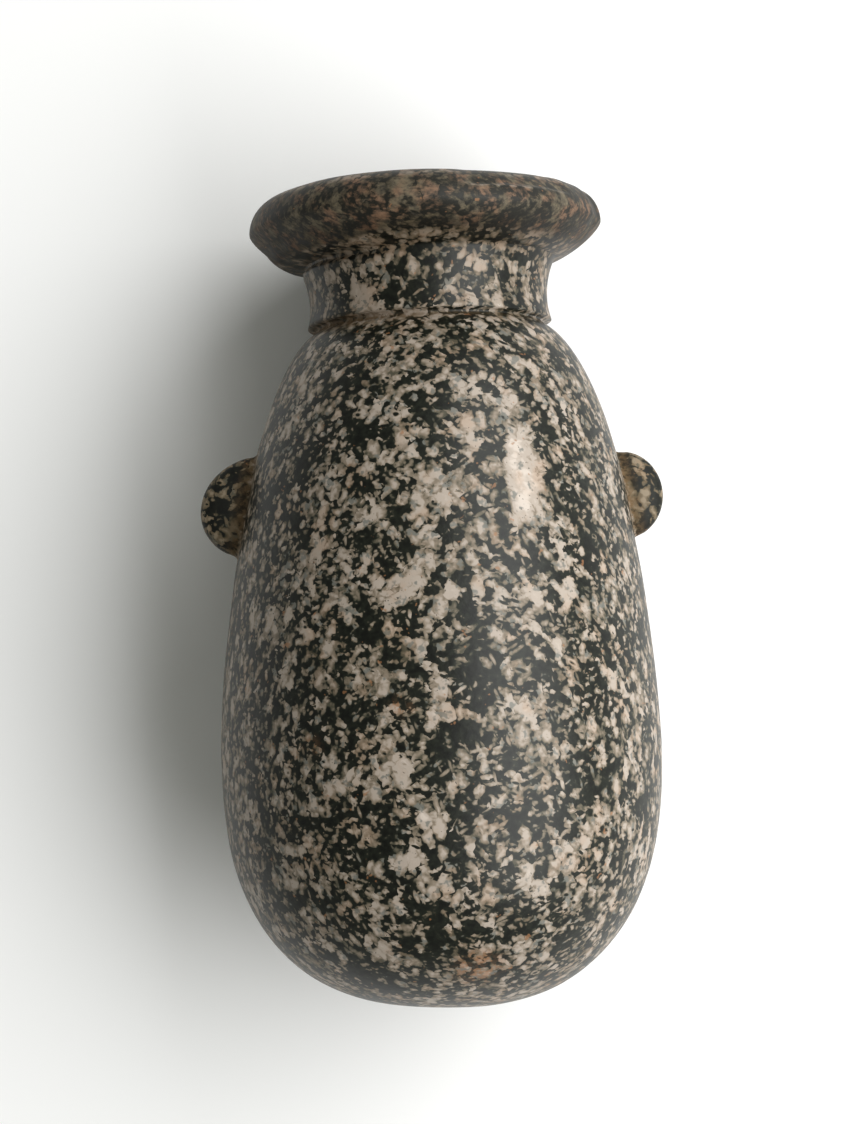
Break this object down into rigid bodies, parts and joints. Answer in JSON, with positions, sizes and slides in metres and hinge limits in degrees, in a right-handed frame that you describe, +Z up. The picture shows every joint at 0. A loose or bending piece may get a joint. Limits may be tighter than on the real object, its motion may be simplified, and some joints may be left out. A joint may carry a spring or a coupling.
{
  "type": "stone alabastron",
  "caption": "Hollow stone perfume vessel: a rounded body with a waisted neck, a broad disc lip and two small unpierced lugs, lying on its side.",
  "frame": {"origin": "on the ground, under the middle of the vessel's box as it lies on its side", "axes": "+Y along the vessel from its base to its mouth, +X across it from lug to lug, +Z up from the ground it lies on"},
  "size_m": [0.0744, 0.1318, 0.0703],
  "materials": {
    "stone": "polished dark stone with pale angular crystals"
  },
  "bodies": {
    "root": {"alabastron": "stone"}
  },
  "joints": []
}
